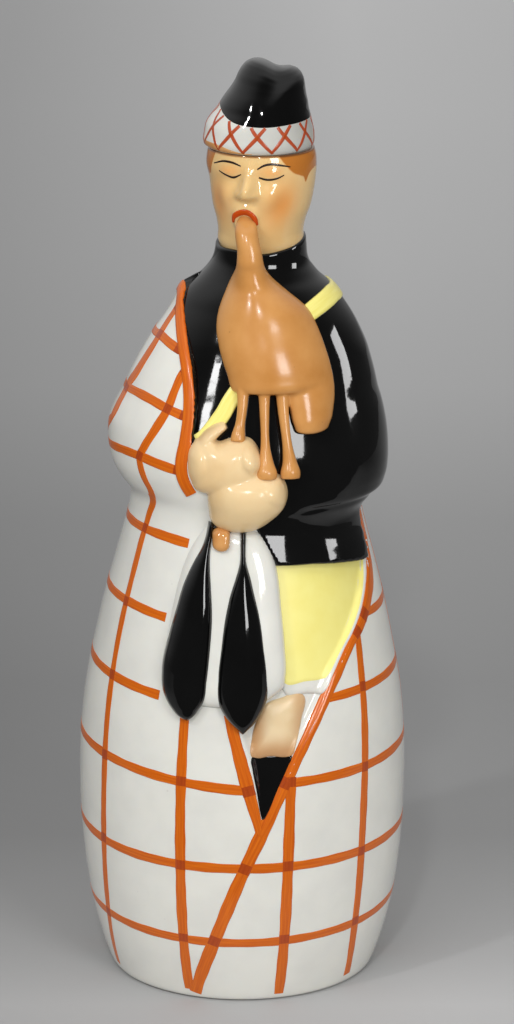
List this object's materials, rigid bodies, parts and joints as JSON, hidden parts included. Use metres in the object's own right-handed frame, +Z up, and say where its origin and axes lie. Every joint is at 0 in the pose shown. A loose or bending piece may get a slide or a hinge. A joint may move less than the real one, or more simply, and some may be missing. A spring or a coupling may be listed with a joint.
{
  "type": "figural liquor decanter",
  "caption": "Tall round glazed porcelain decanter shaped as a piper wrapped in a checked plaid, with a hat that lifts out as the corked stopper.",
  "frame": {"origin": "centre of the foot ring on the table", "axes": "+Z up through the figure, the piper faces -Y, +X is to the viewer's right from the front"},
  "size_m": [0.094, 0.0966, 0.2653],
  "materials": {
    "white_glaze": "glossy white glaze with orange brush strokes",
    "black_glaze": "glossy black overglaze",
    "yellow_glaze": "glossy pale yellow overglaze",
    "flesh_glaze": "glossy flesh-coloured overglaze",
    "tan_glaze": "glossy light brown overglaze",
    "brown_glaze": "glossy brown overglaze",
    "bare_porcelain": "unglazed matt white",
    "cork": "dry agglomerated cork"
  },
  "bodies": {
    "decanter": {"lower_body": "white_glaze", "torso": "black_glaze", "head": "flesh_glaze", "cloak_drape": "white_glaze", "sash": "yellow_glaze", "jacket_skirt": "black_glaze", "kilt": "yellow_glaze", "knee": "flesh_glaze", "stocking": "black_glaze", "bag": "tan_glaze", "blowpipe": "tan_glaze", "short_drone": "tan_glaze", "middle_drone": "tan_glaze", "long_drone": "tan_glaze", "upper_hand": "flesh_glaze", "lower_hand": "flesh_glaze", "sporran": "white_glaze", "sporran_clasp": "brown_glaze", "left_tassel": "black_glaze", "right_tassel": "black_glaze"},
    "cork": {"cork_sleeve": "cork"},
    "stopper": {"hat": "black_glaze", "stopper_plug": "bare_porcelain"}
  },
  "joints": [
    {"name": "stopper_lift", "type": "slide", "parent": "decanter", "child": "cork", "axis": [0, 0, 1], "range_m": [0, 0.04]},
    {"name": "stopper_turn", "type": "hinge", "parent": "cork", "child": "stopper", "pos_m": [0.0054, 0, 0.2408], "axis": [0, 0, 1], "continuous": true}
  ]
}
